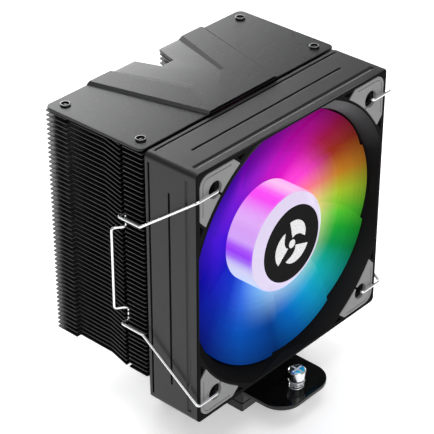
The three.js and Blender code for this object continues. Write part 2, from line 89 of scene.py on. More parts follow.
def area(name, at, look, size, power, colour=(1, 1, 1), turn=0.0):
    data = bpy.data.lights.new(name, "AREA")
    data.shape = "RECTANGLE"
    data.size, data.size_y = size
    data.energy = power
    data.color = colour
    o = bpy.data.objects.new(name, data)
    o.location = at
    aim = (Vector(look) - Vector(at)).to_track_quat("-Z", "Y")
    o.rotation_euler = (aim.to_matrix() @ Matrix.Rotation(math.radians(turn), 3, "Z")).to_euler()
    o.visible_camera = False
    scene.collection.objects.link(o)
    return o


camera()
scene.view_settings.view_transform = "Standard"
scene.view_settings.look = "None"
world = bpy.data.worlds.new("studio")
scene.world = world
world.use_nodes = True
world.node_tree.nodes["Background"].inputs["Color"].default_value = (1, 1, 1, 1)
world.node_tree.nodes["Background"].inputs["Strength"].default_value = 0.34
area("rear_softbox", (0.405, 0.812, 0.322), (0, 0.02, 0.146), (0.76, 0.84), 10.6, turn=-45)
area("overhead", (0.0, 0.12, 1.8), (0, 0, 0), (1.6, 1.6), 14.0)
area("front_fill", (-0.55, -1.35, 0.95), (0, 0, 0.08), (1.1, 1.1), 5.5)


# ------------------------------------------------------------------ materials
class Nodes:
    """A small wrapper for building a shader tree."""

    def __init__(self, name):
        self.material = bpy.data.materials.new(name)
        self.material.use_nodes = True
        self.tree = self.material.node_tree
        self.shader = self.tree.nodes["Principled BSDF"]
        self.coords = self.tree.nodes.new("ShaderNodeTexCoord").outputs["Object"]

    def new(self, kind, **values):
        n = self.tree.nodes.new(kind)
        for k, v in values.items():
            setattr(n, k, v)
        return n

    def link(self, a, b):
        self.tree.links.new(a, b)

    def math(self, op, a, b=None, clamp=False):
        n = self.new("ShaderNodeMath", operation=op, use_clamp=clamp)
        for i, v in enumerate((a, b)):
            if v is None:
                continue
            if isinstance(v, (int, float)):
                n.inputs[i].default_value = v
            else:
                self.link(v, n.inputs[i])
        return n.outputs[0]

    def noise(self, scale, detail=3.0, rough=0.55, stretch=None, vector=None):
        n = self.new("ShaderNodeTexNoise")
        n.inputs["Scale"].default_value = scale
        n.inputs["Detail"].default_value = detail
        n.inputs["Roughness"].default_value = rough
        src = vector or self.coords
        if stretch:
            m = self.new("ShaderNodeMapping")
            m.inputs["Scale"].default_value = stretch
            self.link(src, m.inputs["Vector"])
            src = m.outputs["Vector"]
        self.link(src, n.inputs["Vector"])
        return n.outputs["Fac"]

    def span(self, value, lo, hi, a=0.0, b=1.0):
        n = self.new("ShaderNodeMapRange")
        self.link(value, n.inputs["Value"])
        n.inputs["From Min"].default_value = lo
        n.inputs["From Max"].default_value = hi
        n.inputs["To Min"].default_value = a
        n.inputs["To Max"].default_value = b
        return n.outputs["Result"]

    def mix(self, fac, a, b, kind="MIX"):
        n = self.new("ShaderNodeMix", data_type="RGBA", blend_type=kind)
        for socket, v in ((n.inputs[0], fac), (n.inputs[6], a), (n.inputs[7], b)):
            if isinstance(v, (int, float)):
                socket.default_value = v
            elif isinstance(v, (tuple, list)):
                socket.default_value = (*v[:3], 1)
            else:
                self.link(v, socket)
        return n.outputs[2]

    def bump(self, height, strength, distance, after=None):
        n = self.new("ShaderNodeBump")
        n.inputs["Strength"].default_value = strength
        n.inputs["Distance"].default_value = distance
        self.link(height, n.inputs["Height"])
        if after is not None:
            self.link(after, n.inputs["Normal"])
        return n.outputs["Normal"]

    def edges(self, radius):
        """1 near a sharp edge, 0 away from it."""
        bevel = self.new("ShaderNodeBevel", samples=4)
        bevel.inputs["Radius"].default_value = radius
        geometry = self.new("ShaderNodeNewGeometry")
        dot = self.new("ShaderNodeVectorMath", operation="DOT_PRODUCT")
        self.link(bevel.outputs["Normal"], dot.inputs[0])
        self.link(geometry.outputs["Normal"], dot.inputs[1])
        return self.span(dot.outputs["Value"], 0.99, 0.75), bevel.outputs["Normal"]


def surface(
    name,
    colour,
    rough,
    metal,
    grain=900.0,
    vary=0.12,
    rough_vary=0.06,
    bump=0.0,
    bump_size=2500.0,
    stretch=None,
    edge=None,
    edge_radius=0.0003,
    coat=0.0,
    spec=0.5,
    edge_rough=None,
):
    n = Nodes(name)
    s = n.shader
    cloud = n.noise(grain * 0.12, 3)
    fine = n.noise(grain, 2, stretch=stretch)
    dark = tuple(c * (1 - vary) for c in colour)
    light = tuple(min(1.0, c * (1 + vary)) for c in colour)
    base = n.mix(cloud, dark, light)
    base = n.mix(n.span(fine, 0.35, 0.65, 0, 0.35), base, light)
    r = n.math(
        "ADD",
        n.span(cloud, 0.3, 0.7, rough - rough_vary, rough + rough_vary),
        n.span(fine, 0.3, 0.7, -rough_vary * 0.5, rough_vary * 0.5),
        clamp=True,
    )
    normal = None
    # the edge colour is a paler colour painted along sharp edges as a highlight
    if edge is not None:
        mask, normal = n.edges(edge_radius)
        base = n.mix(mask, base, edge)
    n.link(base, s.inputs["Base Color"])
    n.link(r, s.inputs["Roughness"])
    s.inputs["Metallic"].default_value = metal
    s.inputs["Specular IOR Level"].default_value = spec
    if coat:
        s.inputs["Coat Weight"].default_value = coat
        s.inputs["Coat Roughness"].default_value = 0.08
    if bump:
        h = n.noise(bump_size, 2, stretch=stretch)
        normal = n.bump(h, bump, 0.00006, normal)
    if normal is not None:
        n.link(normal, s.inputs["Normal"])
    return n.material


# the edge colours below are painted highlights along sharp edges
M = {
    "cover": surface("cover_anodised", (0.0325, 0.033, 0.034), 0.28, 0.9, 2600, 0.015, 0.008, 0.015, 9000, edge=(0.40, 0.40, 0.41), edge_radius=0.00022),
    # near-black painted shade for the sloped flanks of the pressed panel
    "painted_shade_slope": surface("painted_shade_slope", (0.003, 0.003, 0.0031), 0.34, 0.9, 2600, 0.02, 0.01, 0.02, 12000, spec=0.2),
    "painted_shade_slope_matt": surface("painted_shade_slope_matt", (0.004, 0.004, 0.0041), 0.36, 0.5, 2600, 0.02, 0.01, 0.02, 12000, spec=0.0),
    "fin": surface("fin_black", (0.020, 0.020, 0.021), 0.36, 0.7, 900, 0.2, 0.06, 0.08, 3000, edge=(0.20, 0.20, 0.205), edge_radius=0.0002, spec=0.3),
    "frame": surface("frame_plastic", (0.0125, 0.0125, 0.013), 0.34, 0.0, 1800, 0.1, 0.04, 0.15, 7000, edge=(0.07, 0.07, 0.073), edge_radius=0.0003, spec=0.33),
    "duct": surface("duct_plastic", (0.0135, 0.0135, 0.014), 0.46, 0.0, 1500, 0.1, 0.04, 0.15, 6000, edge=(0.05, 0.05, 0.052), edge_radius=0.0003, spec=0.0),
    "pad": surface("pad_rubber", (0.30, 0.30, 0.30), 0.8, 0.0, 1200, 0.06, 0.05, 0.35, 5200, edge=(0.44, 0.44, 0.44), edge_radius=0.0003, spec=0.15),
    "block_front": surface("block_front", (0.052, 0.052, 0.055), 0.42, 0.3, 1400, 0.1, 0.05, 0.1, 4200),
    "screw_black": surface("screw_ring", (0.15, 0.15, 0.155), 0.30, 0.9, 1600, 0.05, 0.04, 0.08, 4500, edge=(0.62, 0.62, 0.63), edge_radius=0.00022),
    "recess": surface("recess_satin", (0.86, 0.87, 0.89), 0.55, 0.35, 1600, 0.04, 0.04, 0.08, 4500),
    "wire": surface("wire_bright", (0.93, 0.935, 0.94), 0.22, 1.0, 1500, 0.05, 0.04, 0.05, 4000, stretch=(1, 1, 0.2)),
    "bright": surface("steel_bright", (0.90, 0.91, 0.93), 0.16, 1.0, 1600, 0.05, 0.05, 0.08, 4500),
    "steel": surface("steel_satin", (0.52, 0.53, 0.55), 0.30, 1.0, 1600, 0.08, 0.06, 0.15, 4500),
    "dark_steel": surface("steel_dark", (0.22, 0.22, 0.235), 0.34, 1.0, 1600, 0.1, 0.06, 0.15, 4500),
    "bar": surface("bar_gloss", (0.003, 0.003, 0.0032), 0.12, 0.0, 700, 0.1, 0.03, 0.03, 900, edge=(0.05, 0.05, 0.052), edge_radius=0.0004, spec=0.45),
    "block": surface("block_black", (0.028, 0.028, 0.031), 0.38, 0.6, 1400, 0.12, 0.06, 0.12, 4200, edge=(0.14, 0.14, 0.15)),
    "bare": surface("bare_aluminium", (0.46, 0.46, 0.47), 0.34, 0.9, 1600, 0.08, 0.06, 0.25, 2600, stretch=(0.15, 1, 1)),
    "nickel": surface("nickel_lapped", (0.60, 0.60, 0.62), 0.20, 1.0, 2400, 0.06, 0.05, 0.22, 5200, stretch=(0.08, 1, 1)),
    "pipe": surface("pipe_black_nickel", (0.085, 0.087, 0.094), 0.24, 0.95, 1100, 0.12, 0.06, 0.08, 3000),
    # near-black painted shade for the panel mouth and the screw sockets
    "hole": surface("painted_shade_black", (0.0016, 0.0016, 0.0016), 0.8, 0.0, 900, 0.2, 0.05, 0.05, 3000, spec=0.02),
    "bronze": surface("bronze_sintered", (0.42, 0.27, 0.11), 0.42, 1.0, 2400, 0.2, 0.08, 0.4, 5200),
    "core": surface("laminations", (0.24, 0.24, 0.255), 0.45, 0.9, 1600, 0.15, 0.06, 0.4, 2200, stretch=(0.1, 1.6, 0.1)),
    "copper": surface("windings", (0.50, 0.20, 0.07), 0.30, 0.9, 1600, 0.15, 0.06, 0.5, 1500, stretch=(1, 1, 0.2)),
    "board": surface("board_green", (0.012, 0.085, 0.04), 0.36, 0.0, 1500, 0.2, 0.08, 0.2, 2600),
    "magnet": surface("ferrite", (0.03, 0.03, 0.032), 0.62, 0.1, 2400, 0.2, 0.08, 0.5, 5200),
    "badge": surface("badge_black", (0.0165, 0.0165, 0.017), 0.4, 0.0, 1800, 0.1, 0.04, 0.06, 7000, spec=0.0),
    "emblem": surface("emblem_white", (0.88, 0.88, 0.89), 0.5, 0.0, 1800, 0.03, 0.04, 0.05, 7000, spec=0.2),
}


def srgb(r, g, b):
    return tuple(
        (v / 12.92 if v <= 0.04045 else ((v + 0.055) / 1.055) ** 2.4)
        for v in (r / 255, g / 255, b / 255)
    )


def ring_of_hues(n, turn, stops):
    """Colour by angle about the fan axis; stops are (degrees, sRGB)."""
    ramp = n.new("ShaderNodeValToRGB")
    ramp.color_ramp.interpolation = "LINEAR"
    e = ramp.color_ramp.elements
    while len(e) > 1:
        e.remove(e[-1])
    full = [*stops, (360, stops[0][1])]
    e[0].position, e[0].color = 0.0, (*srgb(*full[0][1]), 1)
    for a, c in full[1:]:
        stop = e.new(a / 360)
        stop.color = (*srgb(*c), 1)
    n.link(turn, ramp.inputs["Fac"])
    return ramp.outputs["Color"]


def lit_plastic(name, outer, inner=None, blend=(27, 46), falloff=None, pale=None, strength=1.0, base=0.004, rough=0.42, spec=0.0, rings=0.0):
    """Frosted plastic lit from the hub: the hue goes round with the angle, brightness falls with the radius."""
    n = Nodes(name)
    split = n.new("ShaderNodeSeparateXYZ")
    n.link(n.coords, split.inputs[0])
    x = split.outputs["X"]
    z = n.math("SUBTRACT", split.outputs["Z"], FZ * MM)
    turn = n.math("ARCTAN2", x, z)
    turn = n.math("ADD", n.math("MULTIPLY", turn, 1 / (2 * math.pi)), 1.0)
    turn = n.math("FRACT", turn)
    r = n.math("SQRT", n.math("ADD", n.math("MULTIPLY", x, x), n.math("MULTIPLY", z, z)))
    colour = ring_of_hues(n, turn, outer)
    if inner:
        share = n.new("ShaderNodeMapRange", interpolation_type="SMOOTHSTEP")
        n.link(r, share.inputs["Value"])
        share.inputs["From Min"].default_value = blend[0] * MM
        share.inputs["From Max"].default_value = blend[1] * MM
        colour = n.mix(share.outputs["Result"], ring_of_hues(n, turn, inner), colour)
    if falloff:
        glow = n.new("ShaderNodeValToRGB")
        g = glow.color_ramp.elements
        while len(g) > 1:
            g.remove(g[-1])
        g[0].position, g[0].color = (falloff[0][0] - 20) / 40, (*[falloff[0][1]] * 3, 1)
        for at, v in falloff[1:]:
            stop = g.new((at - 20) / 40)
            stop.color = (v, v, v, 1)
        n.link(n.span(r, 20 * MM, 60 * MM), glow.inputs["Fac"])
        colour = n.mix(1.0, colour, glow.outputs["Color"], "MULTIPLY")
    if pale:
        colour = n.mix(n.span(r, pale[0] * MM, pale[1] * MM, 1.0, 0.0), colour, srgb(*pale[2]))
    frost = n.noise(420, 3)
    colour = n.mix(n.span(frost, 0.35, 0.65, 0.0, 0.10), colour, n.mix(1.0, colour, (1.25, 1.25, 1.25), "MULTIPLY"))
    if rings:
        # faint circular moulding lines
        along = n.new("ShaderNodeCombineXYZ")
        n.link(r, along.inputs["X"])
        line = n.noise(520, 3, vector=along.outputs["Vector"])
        colour = n.mix(n.span(line, 0.35, 0.65, 0.0, rings), colour, n.mix(1.0, colour, (1.9, 1.9, 1.9), "MULTIPLY"))
    s = n.shader
    n.link(colour, s.inputs["Emission Color"])
    s.inputs["Emission Strength"].default_value = strength
    n.link(n.mix(frost, (base * 0.8, base * 0.8, base * 0.8), (base * 1.2, base * 1.2, base * 1.2)), s.inputs["Base Color"])
    n.link(n.span(frost, 0.3, 0.7, rough - 0.05, rough + 0.05), s.inputs["Roughness"])
    s.inputs["Specular IOR Level"].default_value = spec
    n.link(n.bump(n.noise(3200, 2), 0.06, 0.00005), s.inputs["Normal"])
    return n.material


BLADE_OUTER = [
    (0, (134, 0, 150)), (25, (170, 6, 136)), (42, (158, 20, 70)), (58, (152, 46, 28)), (75, (190, 124, 32)),
    (89, (160, 192, 44)), (101, (80, 192, 46)), (110, (24, 164, 48)), (120, (4, 146, 74)), (136, (18, 172, 178)), (150, (14, 156, 206)),
    (166, (2, 106, 194)), (182, (0, 60, 138)), (208, (4, 80, 180)), (240, (6, 32, 150)), (270, (10, 6, 158)),
    (300, (60, 18, 184)), (325, (64, 2, 154)),
]
BLADE_INNER = [
    (0, (166, 24, 192)), (30, (218, 20, 194)), (55, (252, 66, 212)), (75, (252, 118, 150)), (92, (254, 206, 150)),
    (110, (232, 240, 166)), (140, (206, 240, 232)), (165, (190, 224, 248)), (185, (124, 182, 243)), (206, (58, 112, 230)),
    (228, (20, 50, 194)), (255, (26, 22, 188)), (285, (70, 20, 212)), (320, (112, 24, 208)),
]
HUB_GLOW = [
    (0, (250, 160, 244)), (10, (250, 197, 241)), (22, (250, 186, 236)), (42, (252, 140, 196)), (62, (255, 176, 120)),
    (90, (240, 235, 150)), (120, (150, 235, 170)), (150, (150, 225, 240)), (180, (170, 215, 250)), (210, (190, 210, 255)),
    (240, (208, 216, 250)), (252, (212, 212, 242)), (260, (198, 188, 247)), (268, (166, 108, 246)), (275, (156, 60, 249)),
    (282, (172, 88, 249)), (290, (213, 166, 250)), (301, (216, 162, 246)), (312, (227, 174, 250)), (321, (231, 162, 250)),
    (331, (240, 124, 248)), (339, (249, 80, 246)), (347, (254, 78, 248)), (354, (252, 112, 246)),
]
def lip_painted_sheen():
    """Matt lip of the intake with a painted sheen: its grey goes round with the angle and is palest at the upper right.
    """
    n = Nodes("lip_painted_sheen")
    split = n.new("ShaderNodeSeparateXYZ")
    n.link(n.coords, split.inputs[0])
    z = n.math("SUBTRACT", split.outputs["Z"], FZ * MM)
    turn = n.math("ARCTAN2", split.outputs["X"], z)
    turn = n.math("ADD", n.math("MULTIPLY", turn, 1 / (2 * math.pi)), 1.0)
    turn = n.math("FRACT", turn)
    sheen_grey = ring_of_hues(n, turn, [(a, (g, g, g + 1)) for a, g in LIP_PAINTED_SHEEN])
    fine = n.noise(1500, 2)
    n.link(n.mix(n.span(fine, 0.3, 0.7, 0.0, 0.1), sheen_grey, (0.003, 0.003, 0.0031)), n.shader.inputs["Base Color"])
    n.link(n.span(fine, 0.3, 0.7, 0.46, 0.54), n.shader.inputs["Roughness"])
    n.shader.inputs["Specular IOR Level"].default_value = 0.0
    return n.material


# painted sheen of the lip: grey level (sRGB) at each angle about the fan axis
LIP_PAINTED_SHEEN = [(0, 96), (22, 100), (30, 104), (40, 82), (50, 62), (60, 49), (70, 28), (90, 23), (110, 27), (125, 33), (150, 30), (170, 24), (200, 22), (318, 26), (345, 60)]
M["lip"] = lip_painted_sheen()
M["blade"] = lit_plastic(
    "blade_lit",
    BLADE_OUTER,
    BLADE_INNER,
    falloff=[(20, 1.0), (44, 1.0), (50, 0.80), (54, 0.62), (59, 0.42)],
    rings=0.10,
)
M["hub"] = lit_plastic("hub_lit", HUB_GLOW, pale=(22.45, 22.7, (226, 214, 243)), strength=0.97, base=0.02, rough=0.22, spec=0.2)


# ------------------------------------------------------------------ mesh tools, all in mm
def rad(d):
    return math.radians(d)


def obj(name, mesh):
    o = bpy.data.objects.new(name, mesh)
    scene.collection.objects.link(o)
    return o


def raw(name, verts, faces):
    me = bpy.data.meshes.new(name)
    me.from_pydata([tuple(v) for v in verts], [], faces)
    return tidy(obj(name, me))


def tidy(o, merge=1e-4):
    import bmesh

    bm = bmesh.new()
    bm.from_mesh(o.data)
    bmesh.ops.remove_doubles(bm, verts=bm.verts, dist=merge)
    bmesh.ops.dissolve_degenerate(bm, edges=bm.edges, dist=merge)
    bmesh.ops.recalc_face_normals(bm, faces=bm.faces)
    bm.to_mesh(o.data)
    bm.free()
    return o


def evaluated(o):
    bpy.context.view_layer.update()
    dg = bpy.context.evaluated_depsgraph_get()
    me = bpy.data.meshes.new_from_object(o.evaluated_get(dg))
    return me


def rounded(points, radii, steps=6):
    """A polygon with its corners rounded; radii is one number or one for each corner."""
    out = []
    n = len(points)
    for i, p in enumerate(points):
        rr = radii[i] if isinstance(radii, (list, tuple)) else radii
        p = Vector(p)
        a = Vector(points[i - 1]) - p
        b = Vector(points[(i + 1) % n]) - p
        la, lb = a.length, b.length
        a.normalize()
        b.normalize()
        half = a.angle(b) / 2
        if rr <= 0 or half > math.pi / 2 - 0.02:
            out.append(tuple(p))
            continue
        cut = min(rr / math.tan(half), 0.48 * la, 0.48 * lb)
        r = cut * math.tan(half)
        c = p + (a + b).normalized() * (r / math.sin(half))
        u, v = p + a * cut - c, p + b * cut - c
        t0 = math.atan2(u.y, u.x)
        dt = math.atan2(u.x * v.y - u.y * v.x, u.dot(v))
        for k in range(steps + 1):
            t = t0 + dt * k / steps
            out.append((c.x + r * math.cos(t), c.y + r * math.sin(t)))
    return out


def circle(cx, cy, r, n=48, turn=0.0):
    return [
        (cx + r * math.cos(turn + 2 * math.pi * i / n), cy + r * math.sin(turn + 2 * math.pi * i / n))
        for i in range(n)
    ]


def plate(name, outlines, lo, hi, bevel=0.0, res=2, axis="Z"):
    """A flat piece cut to the given outlines (holes included), with rounded edges."""
    cu = bpy.data.curves.new(name, "CURVE")
    cu.dimensions = "2D"
    cu.fill_mode = "BOTH"
    cu.extrude = (hi - lo) / 2 - bevel
    cu.bevel_depth = bevel
    cu.bevel_resolution = res
    cu.offset = -bevel
    for pts in outlines:
        sp = cu.splines.new("POLY")
        sp.points.add(len(pts) - 1)
        for p, (x, y) in zip(sp.points, pts):
            p.co = (x, y, 0, 1)
        sp.use_cyclic_u = True
    tmp = obj(name + "_curve", cu)
    me = evaluated(tmp)
    bpy.data.objects.remove(tmp)
    o = obj(name, me)
    m = Matrix.Identity(4)
    if axis == "Y":
        m = Matrix.Rotation(math.pi / 2, 4, "X")
        m = Matrix.Translation((0, (lo + hi) / 2, 0)) @ m
    else:
        m = Matrix.Translation((0, 0, (lo + hi) / 2))
    me.transform(m)
    return tidy(o)


def lathe(name, profile, segments=96, axis="Z", at=(0, 0)):
    """profile is (radius, height) from axis to axis, or closed on itself. axis Z at (x, y), or Y about the fan axis."""
    closed = math.dist(profile[0], profile[-1]) < 1e-9
    prof = profile[:-1] if closed else profile
    rings, verts = [], []
    for r, h in prof:
        row = []
        count = 1 if r < 1e-9 else segments
        for i in range(count):
            a = 2 * math.pi * i / segments
            u, v = r * math.cos(a), r * math.sin(a)
            row.append(len(verts))
            verts.append((at[0] + u, at[1] + v, h) if axis == "Z" else (u, h, FZ + v))
        rings.append(row)
    faces = []
    pairs = list(zip(rings, rings[1:]))
    if closed:
        pairs.append((rings[-1], rings[0]))
    for a, b in pairs:
        for i in range(segments):
            j = (i + 1) % segments
            if len(a) == 1 and len(b) == 1:
                break
            if len(a) == 1:
                faces.append((a[0], b[i], b[j]))
            elif len(b) == 1:
                faces.append((a[i], a[j], b[0]))
            else:
                faces.append((a[i], a[j], b[j], b[i]))
    return raw(name, verts, faces)


def soft_profile(points, radius, steps=4):
    """Rounds the inner corners of an open profile."""
    pts = [Vector(p) for p in points]
    out = [tuple(pts[0])]
    for i in range(1, len(pts) - 1):
        p = pts[i]
        a, b = pts[i - 1] - p, pts[i + 1] - p
        la, lb = a.length, b.length
        a.normalize()
        b.normalize()
        half = a.angle(b) / 2
        if half > math.pi / 2 - 0.03:
            out.append(tuple(p))
            continue
        cut = min(radius / math.tan(half), 0.45 * la, 0.45 * lb)
        r = cut * math.tan(half)
        c = p + (a + b).normalized() * (r / math.sin(half))
        u, v = p + a * cut - c, p + b * cut - c
        t0 = math.atan2(u.y, u.x)
        dt = math.atan2(u.x * v.y - u.y * v.x, u.dot(v))
        for k in range(steps + 1):
            t = t0 + dt * k / steps
            out.append((c.x + r * math.cos(t), c.y + r * math.sin(t)))
    out.append(tuple(pts[-1]))
    return out


def bent(points, radius, steps=8):
    """A 3-D run with its corners bent to a radius."""
    P = [Vector(p) for p in points]
    out = [P[0]]
    for i in range(1, len(P) - 1):
        a, b = P[i - 1] - P[i], P[i + 1] - P[i]
        room = 0.48 * min(a.length, b.length)
        a.normalize()
        b.normalize()
        half = a.angle(b) / 2
        if half > math.pi / 2 - 0.01:
            out.append(P[i])
            continue
        cut = min(radius / math.tan(half), room)
        r = cut * math.tan(half)
        c = P[i] + (a + b).normalized() * (r / math.sin(half))
        u, v = P[i] + a * cut - c, P[i] + b * cut - c
        ax = u.cross(v).normalized()
        sweep = u.angle(v)
        for k in range(steps + 1):
            out.append(c + Matrix.Rotation(sweep * k / steps, 3, ax) @ u)
    out.append(P[-1])
    return out


def tube(name, points, radius, sides=20, radii=None, round_ends=True):
    """A round bar along a run of points, with domed ends."""
    P = [Vector(p) for p in points]
    R = list(radii) if radii else [radius] * len(P)
    T = []
    for i in range(len(P)):
        a = (P[i] - P[i - 1]).normalized() if i else (P[1] - P[0]).normalized()
        b = (P[i + 1] - P[i]).normalized() if i < len(P) - 1 else a
        T.append((a + b).normalized())
    if round_ends:
        head = [(P[0] + T[0] * (R[0] * 0.5) * (1 - math.cos(t)), R[0] * math.sin(t)) for t in (rad(25), rad(50), rad(72))]
        tail = [(P[-1] - T[-1] * (R[-1] * 0.5) * (1 - math.cos(t)), R[-1] * math.sin(t)) for t in (rad(72), rad(50), rad(25))]
        inner = [(P[0] + T[0] * (R[0] * 0.5), R[0])] + [(p, r) for p, r in zip(P[1:-1], R[1:-1])] + [(P[-1] - T[-1] * (R[-1] * 0.5), R[-1])]
        chain = head + inner + tail
        tangents = [T[0]] * 4 + T[1:-1] + [T[-1]] * 4
    else:
        chain = list(zip(P, R))
        tangents = T
    normal = tangents[0].orthogonal().normalized()
    verts, faces = [], []
    previous = tangents[0]
    for (p, r), t in zip(chain, tangents):
        turn = previous.rotation_difference(t)
        normal = (turn @ normal)
        normal = (normal - t * normal.dot(t)).normalized()
        previous = t
        side = t.cross(normal)
        for k in range(sides):
            a = 2 * math.pi * k / sides
            verts.append(p + normal * (r * math.cos(a)) + side * (r * math.sin(a)))
    n = len(chain)
    for i in range(n - 1):
        for k in range(sides):
            j = (k + 1) % sides
            faces.append((i * sides + k, i * sides + j, (i + 1) * sides + j, (i + 1) * sides + k))
    faces.append(tuple(range(sides))[::-1])
    faces.append(tuple((n - 1) * sides + k for k in range(sides)))
    return raw(name, verts, faces)


def block(name, x0, x1, y0, y1, z0, z1, matrix=None):
    v = [(x, y, z) for x in (x0, x1) for y in (y0, y1) for z in (z0, z1)]
    f = [(0, 1, 3, 2), (4, 6, 7, 5), (0, 4, 5, 1), (2, 3, 7, 6), (0, 2, 6, 4), (1, 5, 7, 3)]
    o = raw(name, v, f)
    if matrix is not None:
        o.data.transform(matrix)
    return o


def merged(name, parts):
    """Several meshes as one, without any boolean."""
    import bmesh

    bm = bmesh.new()
    for p in parts:
        bm.from_mesh(p.data)
    me = bpy.data.meshes.new(name)
    bm.to_mesh(me)
    bm.free()
    for p in parts:
        bpy.data.objects.remove(p)
    return obj(name, me)


def boolean(o, cutter, op="DIFFERENCE"):
    m = o.modifiers.new("cut", "BOOLEAN")
    m.object = cutter
    m.operation = op
    m.solver = "EXACT"
    me = evaluated(o)
    o.modifiers.clear()
    o.data = me
    bpy.data.objects.remove(cutter)
    return o


def done(o, material, body="tower", rep=(), angle=32, bevel=0.0, segments=2, flats=True):
    if bevel:
        m = o.modifiers.new("bevel", "BEVEL")
        m.width = bevel
        m.segments = segments
        m.limit_method = "ANGLE"
        m.angle_limit = rad(40)
        me = evaluated(o)
        o.modifiers.clear()
        o.data = me
    o.data.transform(Matrix.Scale(MM, 4))
    o.data.polygons.foreach_set("use_smooth", [True] * len(o.data.polygons))
    o.data.set_sharp_from_angle(angle=rad(angle))
    if flats:
        m = o.modifiers.new("flats", "WEIGHTED_NORMAL")
        m.mode = "FACE_AREA"
        m.weight = 50
        m.keep_sharp = True
        me = evaluated(o)
        o.modifiers.clear()
        o.data = me
    if material is not None:
        o.data.materials.clear()
        o.data.materials.append(M[material] if isinstance(material, str) else material)
    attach(o, body)
    if rep:
        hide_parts(*rep)
    return o


mirror = lambda pts: [(-x, *rest) for x, *rest in pts]
CORNERS = [("top_left", -1, 1), ("top_right", 1, 1), ("bottom_left", -1, -1), ("bottom_right", 1, -1)]
WHERE = [("front_left", -1, 0), ("front_right", 1, 0), ("rear_left", -1, 1), ("rear_right", 1, 1)]

# ------------------------------------------------------------------ fin stack
PITCH, FINS, FIN_T, FIN_TOP = 2.2, 50, 0.4, 143.3
half = [
    (60.2, -6.9), (60.2, 3.7), (57.4, 3.7), (57.4, 5.3), (60.2, 5.3),
    (57.7, 16.5), (57.7, 35.4), (60.0, 35.4), (60.0, 47.6),
    (7.5, 47.6), (3.6, 35.2),
]
fin_line = rounded(half + mirror(half)[::-1], [0.6, 0.2, 0.3, 0.3, 0.2, 2, 0.2, 0.2, 0.5, 0.6, 0.8] + [0.8, 0.6, 0.5, 0.2, 0.2, 2, 0.2, 0.3, 0.3, 0.2, 0.6], 3)


def fins():
    verts, faces = [], []
    n = len(fin_line)
    for k in range(FINS):
        z = FIN_TOP - PITCH * k
        b = len(verts)
        for h in (z - FIN_T / 2, z + FIN_T / 2):
            verts += [(x, y, h) for x, y in fin_line]
        faces.append(tuple(b + i for i in range(n))[::-1])
        faces.append(tuple(b + n + i for i in range(n)))
        faces += [(b + i, b + (i + 1) % n, b + n + (i + 1) % n, b + n + i) for i in range(n)]
    # folded tabs along the front and rear edges reach down to the next fin
    for x in (-53, -37, -15, 15, 37, 53):
        for k in range(FINS - 1):
            z = FIN_TOP - PITCH * k
            for y0, y1 in ((-6.88, -6.5), (47.2, 47.58)):
                b = len(verts)
                w = 2.6
                lo, hi = z - PITCH + FIN_T / 2 + 0.03, z - FIN_T / 2 + 0.02
                verts += [(x - w + 0.5, y0, lo), (x + w - 0.5, y0, lo), (x + w - 0.5, y1, lo), (x - w + 0.5, y1, lo)]
                verts += [(x - w, y0, hi), (x + w, y0, hi), (x + w, y1, hi), (x - w, y1, hi)]
                faces += [tuple(b + i for i in f) for f in ((3, 2, 1, 0), (4, 5, 6, 7), (0, 1, 5, 4), (1, 2, 6, 5), (2, 3, 7, 6), (3, 0, 4, 7))]
    o = raw("fins", verts, faces)
    return done(o, "fin", rep=["fin_stack"], angle=30, flats=False)


fins()
PIPES = [(-10.8, 30, 8), (-3.6, 38, 14.5), (3.6, 29.5, 24), (10.8, 36.5, 33)]
for i, (yb, xl, yl) in enumerate(PIPES):
    side = [(xl - 11, yb, 4.45), (xl, yb, 4.45), (xl, yb, 17.45), (xl, yl, 29.5), (xl, yl, 143.9)]
    run = mirror(side)[::-1] + side
    pts = [run[0]]
    # base bends at the bottom are tight, the rise has easy bends
    left = bent(mirror(side)[::-1][0:3], 9, 8)
    pts = bent(run, 10.5, 10)
    pipe = tube(f"pipe_{i + 1}", pts, 3.0, 32)
    done(pipe, "pipe", rep=[f"heatpipe_{i + 1}"], angle=40, flats=False)
collars = []
for yb, xl, yl in PIPES:
    for s in (-1, 1):
        collars.append(lathe("c", [(3.02, 35.4), (3.45, 35.4), (3.35, 34.4), (3.02, 34.3), (3.02, 35.4)], 32, at=(s * xl, yl)))
done(merged("fin_collars", collars), "fin", angle=40)

# ------------------------------------------------------------------ top cover and its raised panel
cover_half = [(60.5, -6.9), (60.5, 47.7), (7.5, 47.7), (3.6, 35.2)]
cover_line = rounded(cover_half + mirror(cover_half)[::-1], [3.2, 3.2, 0.7, 1.2, 1.2, 0.7, 3.2, 3.2], 8)
SCREWS = [(s * 54, y) for s in (-1, 1) for y in (-0.5, 41.8)]
cover = plate("cover_sheet", [cover_line] + [circle(x, y, 1.7, 32) for x, y in SCREWS], 144.2, 145.4, 0.28, 3)
done(cover, "cover", rep=["top_cover"], angle=28)



